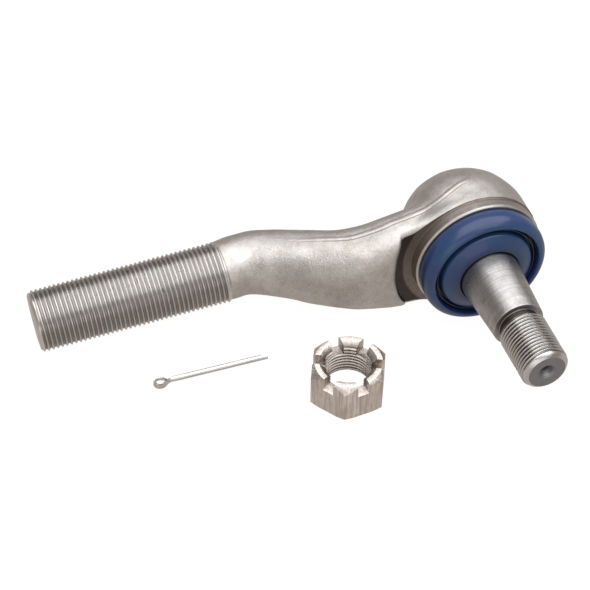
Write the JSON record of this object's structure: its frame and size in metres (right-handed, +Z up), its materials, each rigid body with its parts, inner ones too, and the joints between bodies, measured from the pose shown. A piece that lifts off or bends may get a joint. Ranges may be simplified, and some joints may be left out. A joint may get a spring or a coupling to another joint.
{
  "type": "tie rod end",
  "caption": "Offset steel tie rod end with threaded shank, ball stud in a greased socket, soft boot, and its slotted nut and cotter pin laid beside it.",
  "frame": {"origin": "centre of the ball in the housing's socket", "axes": "-Y along the ball stud to its threaded tip at rest, +X from the shank's free end towards the head, +Z up from the flat surface that the head and the shank's free end rest on"},
  "size_m": [0.2299, 0.1331, 0.0614],
  "materials": {
    "forged_steel": "shot-blasted forging, fine grain, satin",
    "retainer_steel": "pressed steel, radial lines, satin",
    "machined_steel": "turned and ground, satin to bright",
    "nut_steel": "machined bar steel, satin",
    "plated_steel": "bright zinc plate",
    "spring_steel": "oiled spring steel",
    "boot_polyurethane": "glossy moulded polyurethane",
    "seal_rubber": "black seal rubber",
    "bearing_polymer": "natural acetal"
  },
  "bodies": {
    "root": {"housing": "forged_steel", "retainer_ring": "retainer_steel", "retainer_seal": "seal_rubber", "front_bearing": "bearing_polymer", "preload_spring": "spring_steel", "grease_fitting": "plated_steel", "grease_check_spring": "spring_steel"},
    "swivel": {"boot": "boot_polyurethane", "boot_base_ring": "spring_steel"},
    "tilt": {"boot_lip_ring": "spring_steel"},
    "stud": {"ball_stud": "machined_steel"},
    "bearing_stack": {"rear_bearing": "bearing_polymer", "thrust_plate": "machined_steel"},
    "check_ball": {"grease_check_ball": "machined_steel"},
    "nut": {"slotted_nut": "nut_steel"},
    "pin": {"cotter_pin": "plated_steel"}
  },
  "joints": [
    {"name": "boot_swivel", "type": "hinge", "parent": "root", "child": "swivel", "pos_m": [0, 0, 0], "axis": [0, -1, 0], "continuous": true},
    {"name": "stud_tilt", "type": "hinge", "parent": "swivel", "child": "tilt", "pos_m": [0, 0, 0], "axis": [0, 0, 1], "range_deg": [-20, 20], "deforming": ["boot"]},
    {"name": "stud_spin", "type": "hinge", "parent": "tilt", "child": "stud", "pos_m": [0, 0, 0], "axis": [0, -1, 0], "continuous": true},
    {"name": "bearing_take_up", "type": "slide", "parent": "root", "child": "bearing_stack", "axis": [0, 1, 0], "range_m": [0, 0.0006], "stiffness_N_per_m": 2000, "springref_m": -0.001, "deforming": ["preload_spring"]},
    {"name": "grease_check", "type": "slide", "parent": "root", "child": "check_ball", "axis": [0, -1, 0], "range_m": [0, 0.001], "stiffness_N_per_m": 60, "springref_m": -0.0005, "deforming": ["grease_check_spring"]},
    {"name": "nut_lift", "type": "slide", "parent": "root", "child": "nut", "axis": [0, 0, 1], "range_m": [0, 0.05]},
    {"name": "pin_lift", "type": "slide", "parent": "root", "child": "pin", "axis": [0, 0, 1], "range_m": [0, 0.05]}
  ]
}
